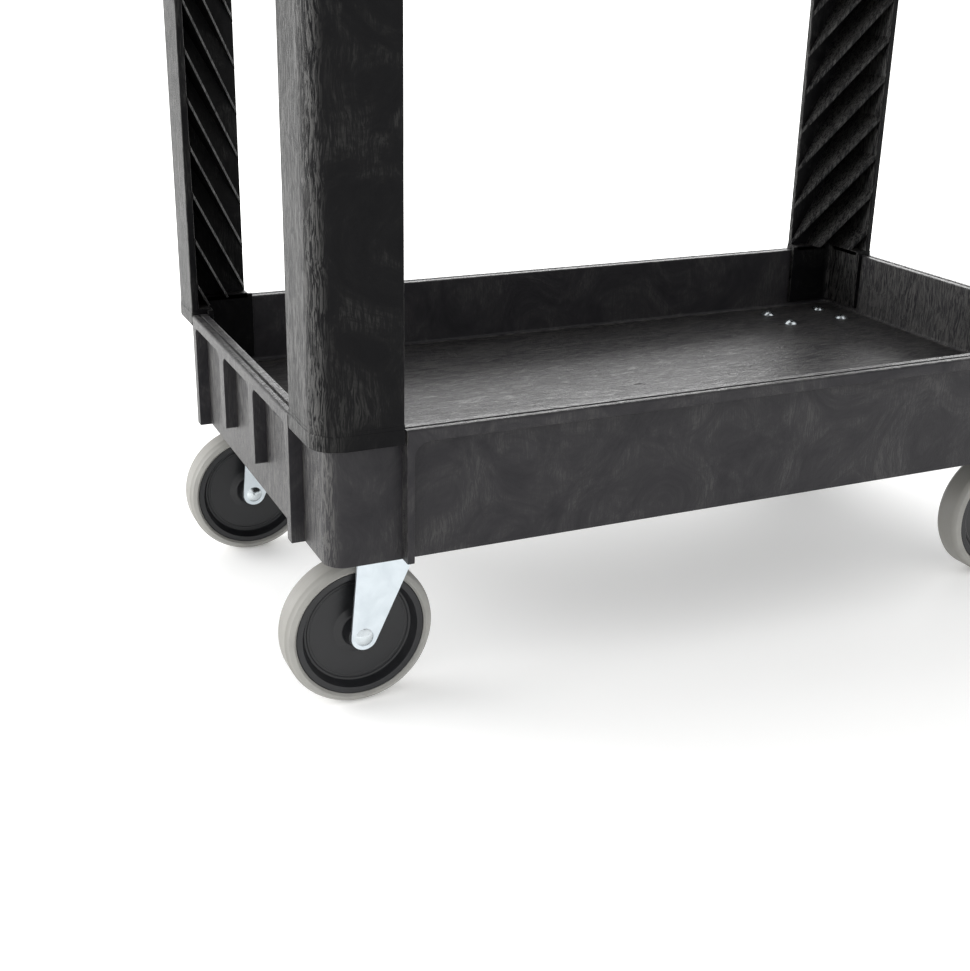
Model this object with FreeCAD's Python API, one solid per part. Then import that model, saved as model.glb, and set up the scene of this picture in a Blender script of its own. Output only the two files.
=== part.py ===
import FreeCAD, Part
import math
import os

from FreeCAD import Vector

# Two-shelf rolling utility cart: moulded trays, corner posts and plate casters, in millimetres.
# The origin is on the floor, under the middle of the whole cart. +X runs along the shelves, away
# from the push handle. The handle and the two swivel casters are at the -X end.

# Overall sizes
shelf_length = 816.0
shelf_width = 465.0
shelf_spacing = 560.0
handle_reach = 181.0
handle_lift = 33.0

# Tray section
tray_depth = 69.0
skirt_drop = 34.0
floor_thickness = 6.0
rim_height = 10.0
rim_width = 15.5
wall = 4.5
corner_radius = 24.0
skirt_round = 17.0
rim_round = 2.0
groove_inset = 6.0
groove_width = 2.5
groove_depth = 2.0
floor_fillet = 4.0
floor_rib = 3.0
floor_rib_depth = 24.0
cross_ribs = 5
long_ribs = 3
gate_mark_radius = 6.0
gate_mark_depth = 0.8

# Fins and ribs that stand out from the tray's skirt
side_fin = 6.0
end_fin = 11.0
end_rib = 15.0
end_rib_spacing = 99.0
end_rib_drop = 68.5
panel_round = 13.0

# Corner posts
post_length = 70.0
post_depth = 71.0
post_wall = 8.0
post_gap = 1.0
saddle_gap = 0.3
saddle_web = 5.0
tenon_wall = 5.0
tenon_step = 4.0
tenon_foot_gap = 2.0
tenon_head_room = 8.0
lip_height = 2.0
lip_step = 0.6
post_rib = 2.5
post_rib_pitch = 43.75
post_rib_start = 36.0
post_rib_slope = 1.75
least_rib_volume = 50.0

# Push handle
handle_section_width = 26.0
handle_section_height = 32.0
handle_section_round = 9.0
handle_post_gap = 3.0
handle_bend = 58.0
handle_tilt = 13.0
handle_root = 20.0
gusset_thickness = 10.0
gusset_length = 70.0
gusset_foot = 12.0

# Wheels
wheel_radius = 63.5
tyre_width = 32.0
tread_width = 18.0
hub_radius = 55.0
hub_rim = 5.5
hub_rim_width = 27.0
hub_rim_slope = 3.5
hub_web = 10.0
hub_boss_radius = 12.0
hub_boss_foot = 6.0
hub_boss_rise = 2.0
hub_side_gap = 0.6
tyre_bead = 2.0
sleeve_radius = 6.0
running_gap = 0.05

# Fork, axle and swivel
axle_radius = 4.75
axle_head_radius = 7.8
axle_head_height = 3.6
axle_nut_flats = 14.0
fork_steel = 2.5
fork_outer_width = 44.0
fork_foot_radius = 11.0
fork_top_behind = 37.0
fork_top_ahead = 15.5
fork_bend = 2.0
caster_trail = 33.0
rigid_fork_top = 25.0
crown_radius = 27.0
crown_thickness = 3.0
crown_gap = 9.5
race_height = 5.5
race_gap = 2.5
race_inner_radius = 13.0
ball_radius = 3.2
ball_circle = 20.0
ball_count = 16
ball_gap = 0.3
kingpin_radius = 4.75
kingpin_head_radius = 9.0
kingpin_head_height = 3.0
kingpin_foot_radius = 11.0
kingpin_foot_height = 3.5
kingpin_foot_round = 1.5

# Mounting plate and its bolts
plate_length = 92.0
plate_width = 62.0
plate_thickness = 3.0
plate_round = 8.0
bolt_spacing_x = 73.0
bolt_spacing_y = 44.5
bolt_radius = 4.0
bolt_hole_gap = 0.25
bolt_head_radius = 8.0
bolt_head_height = 4.0
nut_across_flats = 13.0
nut_height = 6.5
bolt_end = 3.0
pad_height = 21.0
pad_margin = 4.0
pad_recess_gap = 3.0
pad_recess_height = 6.0
plate_room = 2.0
caster_from_end = 83.0
caster_from_side = 65.0

# Worked out from the sizes above
left_end = (handle_reach - shelf_length) / 2
right_end = left_end + shelf_length
shelf_middle = (left_end + right_end) / 2
skirt_inset = rim_width - wall
shelf_height = tray_depth + floor_thickness + skirt_drop
floor_under_drop = tray_depth + floor_thickness
fork_inner_width = fork_outer_width - 2 * fork_steel
crown_top_z = 2 * wheel_radius + crown_gap + crown_thickness
plate_under_z = crown_top_z + 2 * race_height + race_gap
plate_top_z = plate_under_z + plate_thickness
lower_rim_z = plate_top_z + pad_height + floor_under_drop
upper_rim_z = lower_rim_z + shelf_spacing
handle_top_z = upper_rim_z + handle_lift
far = 2 * (shelf_length + shelf_width)


def box(x0, x1, y0, y1, z0, z1):
    return Part.makeBox(x1 - x0, y1 - y0, z1 - z0, Vector(x0, y0, z0))


def cylinder(radius, height, base, direction=Vector(0, 0, 1)):
    return Part.makeCylinder(radius, height, base, direction)


def fuse(shapes):
    return shapes[0].multiFuse(shapes[1:]).removeSplitter()


def polygon(points, direction):
    """A flat outline through the points, pushed along direction."""
    corners = [Vector(*p) for p in points]
    wire = Part.makePolygon(corners + corners[:1])
    return Part.Face(wire).extrude(Vector(*direction))


def rounded_plate(length, width, radius, z0, z1):
    """An upright block with rounded corners, centred on the Z axis."""
    block = box(-length / 2, length / 2, -width / 2, width / 2, z0, z1)
    if radius <= 0:
        return block
    upright = [e for e in block.Edges if abs(e.Vertexes[0].Z - e.Vertexes[1].Z) > 1e-6]
    return block.makeFillet(radius, upright)


def tray_outline(inset, radius, z0, z1):
    return rounded_plate(shelf_length - 2 * inset, shelf_width - 2 * inset, radius, z0, z1)


def mirrored(shape, in_x, in_y):
    """The shape, flipped across X = 0 and across Y = 0 as asked."""
    if in_x:
        shape = shape.mirror(Vector(0, 0, 0), Vector(1, 0, 0))
    if in_y:
        shape = shape.mirror(Vector(0, 0, 0), Vector(0, 1, 0))
    return shape


def four_corners(shape):
    return [mirrored(shape, in_x, in_y) for in_x in (False, True) for in_y in (False, True)]


# ---- Trays. Each is made about its own middle, with the rim's top at Z = 0. ----

def rim():
    ring = tray_outline(0, corner_radius, -rim_height, 0)
    top_edges = [e for e in ring.Edges if all(abs(v.Z) < 1e-6 for v in e.Vertexes)]
    ring = ring.makeFillet(rim_round, top_edges)
    return ring.cut(tray_outline(rim_width, corner_radius - rim_width, -rim_height - 1, 1))


def rim_groove():
    """The shallow channel along the rim's top, on the straight runs between the posts."""
    half_x = shelf_length / 2
    half_y = shelf_width / 2
    run_x = half_x - post_length - post_gap
    run_y = half_y - post_depth - post_gap
    inner = groove_inset + groove_width
    side = box(-run_x, run_x, -half_y + groove_inset, -half_y + inner, -groove_depth, 1)
    end = box(-half_x + groove_inset, -half_x + inner, -run_y, run_y, -groove_depth, 1)
    return [side, mirrored(side, False, True), end, mirrored(end, True, False)]


def skirt_and_floor():
    skirt = tray_outline(skirt_inset, skirt_round, -shelf_height, 0)
    inner_radius = skirt_round - wall
    above = tray_outline(rim_width, inner_radius, -tray_depth, 1)
    low_edges = [e for e in above.Edges if e.BoundBox.ZMax < 1e-3 - tray_depth]
    above = above.makeFillet(floor_fillet, low_edges)
    below = tray_outline(rim_width, inner_radius, -shelf_height - 1, -floor_under_drop)
    return skirt.cut(above).cut(below)


def top_edges_across(block, along):
    """The block's top edges that run along the direction named, X or Y."""
    return [e for e in block.Edges
            if e.BoundBox.ZMin > -rim_height - 1 and getattr(e.BoundBox, along + "Length") > 1]


def side_fins():
    """The two upright fins of a long side, joined to the rim by rounded corners."""
    y_outer = -shelf_width / 2
    y_inner = y_outer + skirt_inset + wall / 2
    x_outer = shelf_length / 2 - post_length - post_gap
    x_inner = x_outer - side_fin
    layer = box(-x_outer, x_outer, y_outer, y_inner, -shelf_height, -rim_height)
    below = -shelf_height - panel_round - 1
    panel = box(-x_inner, x_inner, y_outer - 1, y_inner + 1, below, -rim_height)
    return layer.cut(panel.makeFillet(panel_round, top_edges_across(panel, "Y")))


def end_fins():
    """The two full-height fins and the two short ribs of one end."""
    x_outer = -shelf_length / 2
    x_inner = x_outer + skirt_inset + wall / 2
    y_outer = shelf_width / 2 - post_depth - post_gap
    y_inner = y_outer - end_fin
    layer = box(x_outer, x_inner, -y_outer, y_outer, -shelf_height, -rim_height)
    rib_near = (end_rib_spacing - end_rib) / 2
    rib_far = (end_rib_spacing + end_rib) / 2
    x0, x1 = x_outer - 1, x_inner + 1
    below = -shelf_height - panel_round - 1
    pockets = [box(x0, x1, -y_inner, y_inner, below, -rim_height - end_rib_drop)]
    for y0, y1 in ((-y_inner, -rib_far), (-rib_near, rib_near), (rib_far, y_inner)):
        pocket = box(x0, x1, y0, y1, below, -rim_height)
        pockets.append(pocket.makeFillet(panel_round / 2, top_edges_across(pocket, "X")))
    for pocket in pockets:
        layer = layer.cut(pocket)
    return layer


def floor_ribs(shelf_parts):
    """A grid of stiffening ribs under the floor."""
    half_x = shelf_length / 2 - rim_width
    half_y = shelf_width / 2 - rim_width
    z0 = -floor_under_drop - floor_rib_depth
    z1 = -floor_under_drop
    for n in range(cross_ribs):
        x = -half_x + 2 * half_x * (n + 1) / (cross_ribs + 1)
        shelf_parts.append(box(x - floor_rib / 2, x + floor_rib / 2, -half_y, half_y, z0, z1))
    for n in range(long_ribs):
        y = -half_y + 2 * half_y * (n + 1) / (long_ribs + 1)
        shelf_parts.append(box(-half_x, half_x, y - floor_rib / 2, y + floor_rib / 2, z0, z1))


def post_notch():
    """Room at one corner for the post's outer lip, with a small gap all round it."""
    notch = post_shell(post_wall + saddle_gap, post_gap / 2, -rim_height - 1 - saddle_gap, 1)
    return notch.translated(Vector(-shelf_length / 2, -shelf_width / 2, 0))


def tray():
    parts = [rim(), skirt_and_floor()]
    fins = side_fins()
    ends = end_fins()
    parts += [fins, mirrored(fins, False, True), ends, mirrored(ends, True, False)]
    floor_ribs(parts)
    gate = cylinder(gate_mark_radius, gate_mark_depth + 1, Vector(0, 0, -tray_depth - gate_mark_depth))
    return fuse(parts).cut(gate)


def lower_shelf():
    """The bottom tray: posts stand on its corners and casters bolt under it."""
    shelf = tray()
    for notch in four_corners(post_notch()):
        shelf = shelf.cut(notch)
    for groove in rim_groove():
        shelf = shelf.cut(groove)
    pads, rooms, holes = [], [], []
    pad_z = plate_top_z - lower_rim_z
    for x, y in caster_places():
        place = Vector(x - shelf_middle, y, 0)
        pad = rounded_plate(plate_length + 2 * pad_margin, plate_width + 2 * pad_margin,
                            plate_round, pad_z, -floor_under_drop + 1)
        pads.append(pad.translated(place))
        recess = cylinder(kingpin_head_radius + pad_recess_gap, pad_recess_height, Vector(0, 0, pad_z))
        below = rounded_plate(plate_length + 2 * plate_room, plate_width + 2 * plate_room,
                              plate_round, -shelf_height, pad_z)
        rooms += [recess.translated(place), below.translated(place)]
        for bx, by in bolt_places():
            hole = cylinder(bolt_radius + bolt_hole_gap, shelf_height, Vector(bx, by, -shelf_height))
            holes.append(hole.translated(place))
    shelf = fuse([shelf] + pads)
    for room in rooms:
        shelf = shelf.cut(room)
    shelf = shelf.cut(Part.makeCompound(holes))
    return shelf.translated(Vector(shelf_middle, 0, lower_rim_z))


def upper_shelf():
    """The top tray, with the push handle moulded on its end."""
    shelf = tray()
    for notch in four_corners(upper_corner_room()):
        shelf = shelf.cut(notch)
    for groove in rim_groove():
        shelf = shelf.cut(groove)
    inside = tray_outline((rim_width + skirt_inset) / 2, skirt_round, -shelf_height, far)
    place = Vector(shelf_middle, 0, upper_rim_z)
    return fuse([shelf.translated(place), handle().cut(inside.translated(place))])


def handle():
    """A U of rounded section that rises from the end of the tray, with a gusset under each arm."""
    tilt = math.radians(handle_tilt)
    flat_x = handle_section_width / 2 - handle_section_round
    flat_z = handle_section_height / 2 - handle_section_round
    tip_x = left_end - handle_reach + handle_section_round
    tip_x += flat_x * math.cos(tilt) + flat_z * math.sin(tilt)
    tip_z = handle_top_z - handle_section_round
    tip_z -= flat_z * math.cos(tilt) + flat_x * math.sin(tilt)
    root_x = left_end + handle_root
    reach = (root_x - tip_x) / math.cos(tilt)
    root_z = tip_z - reach * math.sin(tilt)
    half = shelf_width / 2 - post_depth - post_gap - handle_post_gap - handle_section_width / 2
    bend = handle_bend
    corner = bend * (1 - math.sqrt(0.5))
    path = Part.Wire([
        Part.makeLine(Vector(0, -half, 0), Vector(-reach + bend, -half, 0)),
        Part.Arc(Vector(-reach + bend, -half, 0), Vector(-reach + corner, -half + corner, 0),
                 Vector(-reach, -half + bend, 0)).toShape(),
        Part.makeLine(Vector(-reach, -half + bend, 0), Vector(-reach, half - bend, 0)),
        Part.Arc(Vector(-reach, half - bend, 0), Vector(-reach + corner, half - corner, 0),
                 Vector(-reach + bend, half, 0)).toShape(),
        Part.makeLine(Vector(-reach + bend, half, 0), Vector(0, half, 0)),
    ])
    section = rounded_plate(handle_section_height, handle_section_width, handle_section_round, 0, 1)
    face = [f for f in section.Faces if abs(f.CenterOfMass.z) < 1e-6][0]
    outline = face.OuterWire.copy()
    outline.rotate(Vector(0, 0, 0), Vector(0, 1, 0), 90)
    outline.translate(Vector(0, -half, 0))
    loop = path.makePipeShell([outline], True, True)
    loop.rotate(Vector(0, 0, 0), Vector(0, 1, 0), handle_tilt)
    loop.translate(Vector(root_x, 0, root_z))
    pieces = [loop]
    low_z = upper_rim_z - shelf_height + gusset_foot
    far_x = left_end - gusset_length
    far_z = root_z + (root_x - far_x) * math.tan(tilt)
    for y in (-half, half):
        y0 = y - gusset_thickness / 2
        corners = [(root_x, y0, low_z), (left_end, y0, low_z), (far_x, y0, far_z), (root_x, y0, root_z)]
        pieces.append(polygon(corners, (0, gusset_thickness, 0)))
    return fuse(pieces)


# ---- Posts. One is made with its outer corner on the Z axis, then flipped to the others. ----

def post_block(margin, z0, z1):
    """The post's outside as a solid block with one rounded corner, grown by margin at its free edges."""
    block = box(0, post_length + margin, 0, post_depth + margin, z0, z1)
    edge = [e for e in block.Edges if e.BoundBox.XMax < 1e-3 and e.BoundBox.YMax < 1e-3]
    return block.makeFillet(corner_radius, edge)


def post_shell(thickness, margin, z0, z1):
    """The L of the post's two walls."""
    outer = post_block(margin, z0, z1)
    inner = box(thickness, far, thickness, far, z0 - 1, z1 + 1)
    if corner_radius > thickness:
        edge = [e for e in inner.Edges
                if e.BoundBox.XMax < thickness + 1e-3 and e.BoundBox.YMax < thickness + 1e-3]
        inner = inner.makeFillet(corner_radius - thickness, edge)
    return outer.cut(inner)


def upper_corner_room():
    """Clears the fins' corner of the top tray for the post's wall, up to the rim."""
    room = post_shell(post_wall + saddle_gap, post_gap / 2, -shelf_height - 1, -rim_height)
    return room.translated(Vector(-shelf_length / 2, -shelf_width / 2, 0))


def tenon(z0, z1):
    """The L inside the tray's corner that grips its wall against the post's outer lip."""
    inner_radius = skirt_round - wall
    outer = box(rim_width, post_length + tenon_step, rim_width, post_depth + tenon_step, z0, z1)
    edge = [e for e in outer.Edges
            if e.BoundBox.XMax < rim_width + 1e-3 and e.BoundBox.YMax < rim_width + 1e-3]
    outer = outer.makeFillet(inner_radius, edge)
    start = rim_width + tenon_wall
    inner = box(start, far, start, far, z0 - 1, z1 + 1)
    edge = [e for e in inner.Edges if e.BoundBox.XMax < start + 1e-3 and e.BoundBox.YMax < start + 1e-3]
    return outer.cut(inner.makeFillet(inner_radius / 2, edge))


def saddle(z0, z1):
    """The web that joins the post's outer wall to its tenon, across the tray's wall."""
    return post_shell(rim_width + tenon_wall, 0, z0, z1)


def post_ribs(z0, z1):
    """Thin sloping ribs that tie the two walls together, cut off along the open diagonal."""
    prism = polygon([(post_wall / 2, post_wall / 2, z0), (post_length, post_wall / 2, z0),
                     (post_length, post_wall, z0), (post_wall, post_depth, z0),
                     (post_wall / 2, post_depth, z0)], (0, 0, z1 - z0))
    prism = prism.common(post_block(0, z0, z1))
    drop = post_length * post_rib_slope
    lift = post_rib * math.hypot(1, post_rib_slope)
    ribs = []
    z = z0 - drop + post_rib_start
    while z < z1 + drop:
        corners = [(0, 0, z + drop), (post_length, 0, z), (post_length, 0, z + lift), (0, 0, z + drop + lift)]
        piece = polygon(corners, (0, post_depth, 0)).common(prism)
        if piece.Solids and piece.Volume > least_rib_volume:
            ribs.append(piece)
        z += post_rib_pitch
    return ribs


def post():
    """One corner post, from the lower tray's rim to the upper tray's rim."""
    foot_z = lower_rim_z - rim_height - 1
    head_z = upper_rim_z - rim_height - saddle_gap
    skirt_bottom = upper_rim_z - shelf_height
    lower_web = (lower_rim_z, lower_rim_z + saddle_web)
    upper_web = (skirt_bottom - saddle_web, skirt_bottom)
    parts = [
        post_shell(post_wall, 0, foot_z, head_z),
        saddle(*lower_web),
        saddle(*upper_web),
        tenon(lower_rim_z - tray_depth + floor_fillet + tenon_foot_gap, lower_web[1]),
        tenon(upper_web[0], upper_rim_z - floor_under_drop - tenon_head_room),
    ]
    parts += post_ribs(lower_web[1] - saddle_web / 2, upper_web[0] + saddle_web / 2)
    skin_above_lip = post_shell(lip_step, post_gap, lower_rim_z + lip_height, head_z + 1)
    return fuse(parts).cut(skin_above_lip)


def posts():
    """The four posts by name."""
    one = post().translated(Vector(-shelf_length / 2, -shelf_width / 2, 0))
    places = {"front_left": (False, False), "rear_left": (False, True),
              "front_right": (True, False), "rear_right": (True, True)}
    made = {}
    for place, (in_x, in_y) in places.items():
        made["post_" + place] = mirrored(one, in_x, in_y).translated(Vector(shelf_middle, 0, 0))
    return made


# ---- Casters. Each is made about its plate's middle, standing on the floor. ----

def caster_places():
    x_left = left_end + caster_from_end
    x_right = right_end - caster_from_end
    y = shelf_width / 2 - caster_from_side
    return [(x_left, -y), (x_left, y), (x_right, -y), (x_right, y)]


def bolt_places():
    return [(sx * bolt_spacing_x / 2, sy * bolt_spacing_y / 2) for sx in (-1, 1) for sy in (-1, 1)]


def bolt_holes(z0, z1):
    holes = [cylinder(bolt_radius + bolt_hole_gap, z1 - z0, Vector(x, y, z0)) for x, y in bolt_places()]
    return Part.makeCompound(holes)


def hexagon(across_flats, z0, z1):
    corner = across_flats / math.sqrt(3)
    turns = [math.radians(60 * n) for n in range(6)]
    points = [(corner * math.cos(a), corner * math.sin(a), z0) for a in turns]
    return polygon(points, (0, 0, z1 - z0))


def turned(profile, axis_point):
    """A solid turned about the line through axis_point along Y; the profile lists (radius, y)."""
    points = [Vector(axis_point.x + r, y, axis_point.z) for r, y in profile]
    face = Part.Face(Part.makePolygon(points + points[:1]))
    return face.revolve(axis_point, Vector(0, 1, 0), 360)


def wheel_axis(trail):
    return Vector(-trail, 0, wheel_radius)


def hub(trail):
    """A moulded wheel centre: flat rim ring, dished web and a long boss around the sleeve."""
    half = fork_inner_width / 2 - hub_side_gap
    rim_half = hub_rim_width / 2
    web = hub_web / 2
    bore = sleeve_radius + running_gap
    step = hub_radius - hub_rim
    side = [(bore, half), (hub_boss_radius, half), (hub_boss_radius + hub_boss_rise, web + hub_boss_rise),
            (hub_boss_radius + hub_boss_foot, web), (step - hub_rim_slope, web), (step, rim_half),
            (hub_radius, rim_half)]
    other = [(r, -y) for r, y in reversed(side)]
    return turned(side + other, wheel_axis(trail))


def tyre(trail):
    """A soft tread ring moulded round the hub, with rounded shoulders."""
    axis = wheel_axis(trail)
    half = tyre_width / 2
    flat = tread_width / 2
    wall_radius = hub_radius + tyre_bead
    shoulder = half - flat
    rise = wheel_radius - wall_radius
    mid = math.sqrt(0.5)

    def at(radius, y):
        return Vector(axis.x + radius, y, axis.z)

    def shoulder_arc(side):
        start = at(wall_radius, side * half)
        middle = at(wall_radius + rise * mid, side * (flat + shoulder * mid))
        end = at(wheel_radius, side * flat)
        return Part.Arc(start, middle, end).toShape()

    bed = hub_rim_width / 2
    edges = [
        Part.makeLine(at(hub_radius, -bed), at(hub_radius, bed)),
        Part.makeLine(at(hub_radius, bed), at(wall_radius, half)),
        shoulder_arc(1),
        Part.makeLine(at(wheel_radius, flat), at(wheel_radius, -flat)),
        shoulder_arc(-1),
        Part.makeLine(at(wall_radius, -half), at(hub_radius, -bed)),
    ]
    face = Part.Face(Part.Wire(Part.__sortEdges__(edges)))
    return face.revolve(axis, Vector(0, 1, 0), 360)


def axle(trail):
    """A headed axle: domed head at -Y and a plain end that takes the nut."""
    axis = wheel_axis(trail)
    outer = fork_outer_width / 2
    length = fork_outer_width + nut_height + bolt_end
    shank = cylinder(axle_radius, length, Vector(axis.x, -outer, axis.z), Vector(0, 1, 0))
    ball = (axle_head_radius ** 2 + axle_head_height ** 2) / (2 * axle_head_height)
    centre = Vector(axis.x, -outer - axle_head_height + ball, axis.z)
    start = Vector(axis.x, -outer - axle_head_height, axis.z)
    blank = cylinder(axle_head_radius, axle_head_height, start, Vector(0, 1, 0))
    head = blank.common(Part.makeSphere(ball, centre))
    return fuse([shank, head])


def axle_nut(trail):
    nut = hexagon(axle_nut_flats, 0, nut_height).cut(cylinder(axle_radius, nut_height, Vector()))
    nut.rotate(Vector(), Vector(1, 0, 0), -90)
    return nut.translated(wheel_axis(trail) + Vector(0, fork_outer_width / 2, 0))


def wheel_sleeve(trail):
    """The steel tube clamped between the fork's legs, on which the hub turns."""
    axis = wheel_axis(trail)
    start = Vector(axis.x, -fork_inner_width / 2, axis.z)
    tube = cylinder(sleeve_radius, fork_inner_width, start, Vector(0, 1, 0))
    return tube.cut(cylinder(axle_radius, fork_inner_width, start, Vector(0, 1, 0)))


def tangent_point(px, pz, cx, cz, radius, side):
    """Where the line from a point touches a circle; side picks which of the two."""
    dx, dz = px - cx, pz - cz
    distance = math.hypot(dx, dz)
    angle = math.atan2(dz, dx) + side * math.acos(radius / distance)
    return cx + radius * math.cos(angle), cz + radius * math.sin(angle)


def fork_leg(back, ahead, top, trail, y0):
    """A flat leg that narrows to a round foot at the axle; back and ahead are its top corners."""
    cx, cz = -trail, wheel_radius
    bx, bz = tangent_point(back, top, cx, cz, fork_foot_radius, 1)
    ax, az = tangent_point(ahead, top, cx, cz, fork_foot_radius, -1)
    edges = [
        Part.makeLine(Vector(back, y0, top), Vector(bx, y0, bz)),
        Part.Arc(Vector(bx, y0, bz), Vector(cx, y0, cz - fork_foot_radius),
                 Vector(ax, y0, az)).toShape(),
        Part.makeLine(Vector(ax, y0, az), Vector(ahead, y0, top)),
        Part.makeLine(Vector(ahead, y0, top), Vector(back, y0, top)),
    ]
    return Part.Face(Part.Wire(edges)).extrude(Vector(0, fork_steel, 0))


def fork_legs(back, ahead, top, trail):
    outer = fork_outer_width / 2
    return [fork_leg(back, ahead, top, trail, y0) for y0 in (-outer, outer - fork_steel)]


def axle_hole(trail):
    axis = wheel_axis(trail)
    start = Vector(axis.x, -fork_outer_width, axis.z)
    return cylinder(axle_radius, 2 * fork_outer_width, start, Vector(0, 1, 0))


def ball_groove():
    centre_z = crown_top_z + race_height + race_gap / 2
    return Part.makeTorus(ball_circle, ball_radius + ball_gap, Vector(0, 0, centre_z))


def swivel_fork():
    """Pressed crown with two legs, and the lower ball race formed on top of it."""
    outer = fork_outer_width / 2
    crown_z = crown_top_z - crown_thickness
    deck = box(-fork_top_behind, fork_top_ahead, -outer, outer, crown_z, crown_top_z)
    disc = cylinder(crown_radius, crown_thickness, Vector(0, 0, crown_z))
    body = fuse([deck] + fork_legs(-fork_top_behind, fork_top_ahead, crown_top_z, caster_trail))
    bends = [e for e in body.Edges if e.BoundBox.XLength > 20 and e.BoundBox.ZMin > crown_top_z - 1e-3
             and e.BoundBox.YLength < 1e-3 and abs(abs(e.CenterOfMass.y) - outer) < 1e-3]
    body = body.makeFillet(fork_bend, bends)
    race = cylinder(crown_radius, race_height, Vector(0, 0, crown_top_z))
    body = fuse([body, disc, race])
    well = cylinder(race_inner_radius, race_height, Vector(0, 0, crown_top_z))
    pin_hole = cylinder(kingpin_radius + running_gap, 2 * crown_thickness, Vector(0, 0, crown_z - 1))
    return body.cut(well).cut(pin_hole).cut(ball_groove()).cut(axle_hole(caster_trail))


def swivel_balls():
    centre_z = crown_top_z + race_height + race_gap / 2 - ball_gap
    balls = []
    for n in range(ball_count):
        angle = 2 * math.pi * n / ball_count
        place = Vector(ball_circle * math.cos(angle), ball_circle * math.sin(angle), centre_z)
        balls.append(Part.makeSphere(ball_radius, place))
    return Part.makeCompound(balls)


def swivel_plate():
    plate = rounded_plate(plate_length, plate_width, plate_round, plate_under_z, plate_top_z)
    plate = plate.cut(bolt_holes(plate_under_z - 1, plate_top_z + 1))
    pin_hole = cylinder(kingpin_radius, 2 * plate_thickness, Vector(0, 0, plate_under_z - 1))
    return plate.cut(pin_hole)


def swivel_race():
    """The upper ball race, pressed against the underside of the plate."""
    base = Vector(0, 0, plate_under_z - race_height)
    ring = cylinder(crown_radius, race_height, base).cut(cylinder(race_inner_radius, race_height, base))
    return ring.cut(ball_groove())


def kingpin():
    """The rivet that holds the fork to the plate and lets it turn."""
    foot_top = crown_top_z - crown_thickness - ball_gap
    foot_z = foot_top - kingpin_foot_height
    foot = cylinder(kingpin_foot_radius, kingpin_foot_height, Vector(0, 0, foot_z))
    shank = cylinder(kingpin_radius, plate_top_z - foot_top, Vector(0, 0, foot_top))
    head = cylinder(kingpin_head_radius, kingpin_head_height, Vector(0, 0, plate_top_z))
    foot_edge = [e for e in foot.Edges if e.BoundBox.ZMax < foot_z + 1e-3]
    return fuse([foot.makeFillet(kingpin_foot_round, foot_edge), shank, head])


def rigid_fork():
    """One pressed piece: the bolted plate with two legs straight down to the axle."""
    z0 = plate_under_z
    plate = rounded_plate(plate_length, plate_width, plate_round, z0, plate_top_z)
    legs = fork_legs(-rigid_fork_top, rigid_fork_top, z0 + plate_thickness / 2, 0)
    body = fuse([plate] + legs)
    return body.cut(bolt_holes(z0 - 1, plate_top_z + 1)).cut(axle_hole(0))


def plate_bolts():
    """Four dome-headed bolts, with their heads on the tray's floor."""
    floor_z = lower_rim_z - tray_depth
    end_z = plate_under_z - nut_height - bolt_end
    ball = (bolt_head_radius ** 2 + bolt_head_height ** 2) / (2 * bolt_head_height)
    bolts = []
    for x, y in bolt_places():
        shank = cylinder(bolt_radius, floor_z - end_z, Vector(x, y, end_z))
        blank = cylinder(bolt_head_radius, bolt_head_height, Vector(x, y, floor_z))
        dome = Part.makeSphere(ball, Vector(x, y, floor_z + bolt_head_height - ball))
        bolts.append(fuse([shank, blank.common(dome)]))
    return Part.makeCompound(bolts)


def plate_nuts():
    z1 = plate_under_z
    nut = hexagon(nut_across_flats, z1 - nut_height, z1)
    nut = nut.cut(cylinder(bolt_radius, nut_height, Vector(0, 0, z1 - nut_height)))
    return Part.makeCompound([nut.translated(Vector(x, y, 0)) for x, y in bolt_places()])


def wheel_parts(trail):
    return {"axle": axle(trail), "axle_nut": axle_nut(trail), "wheel_sleeve": wheel_sleeve(trail),
            "wheel_hub": hub(trail), "tyre": tyre(trail)}


def casters():
    """All four casters by piece and place: swivel ones under the handle, rigid ones at the far end."""
    fixings = {"caster_bolts": plate_bolts(), "caster_nuts": plate_nuts()}
    swivel = {"swivel_plate": swivel_plate(), "swivel_race": swivel_race(), "kingpin": kingpin(),
              "swivel_fork": swivel_fork(), "swivel_balls": swivel_balls()}
    swivel.update(wheel_parts(caster_trail))
    swivel.update(fixings)
    rigid = {"rigid_fork": rigid_fork()}
    rigid.update(wheel_parts(0))
    rigid.update(fixings)
    names = ["front_left", "rear_left", "front_right", "rear_right"]
    made = {}
    for place, (x, y) in zip(names, caster_places()):
        kit = swivel if place.endswith("left") else rigid
        for name, shape in kit.items():
            made[name + "_" + place] = shape.translated(Vector(x, y, 0))
    return made


def main():
    nodes = {"lower_shelf": lower_shelf(), "upper_shelf": upper_shelf()}
    nodes.update(posts())
    nodes.update(casters())
    os.makedirs("parts", exist_ok=True)
    for name, shape in nodes.items():
        shape.exportStep("parts/" + name + ".step")
        state = "ok" if shape.isValid() else "BAD"
        print(name, len(shape.Solids), round(shape.Volume / 1000, 1), "cm3", state)


main()
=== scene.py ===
import bmesh
import bpy
import math
from mathutils import Matrix, Vector


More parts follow.
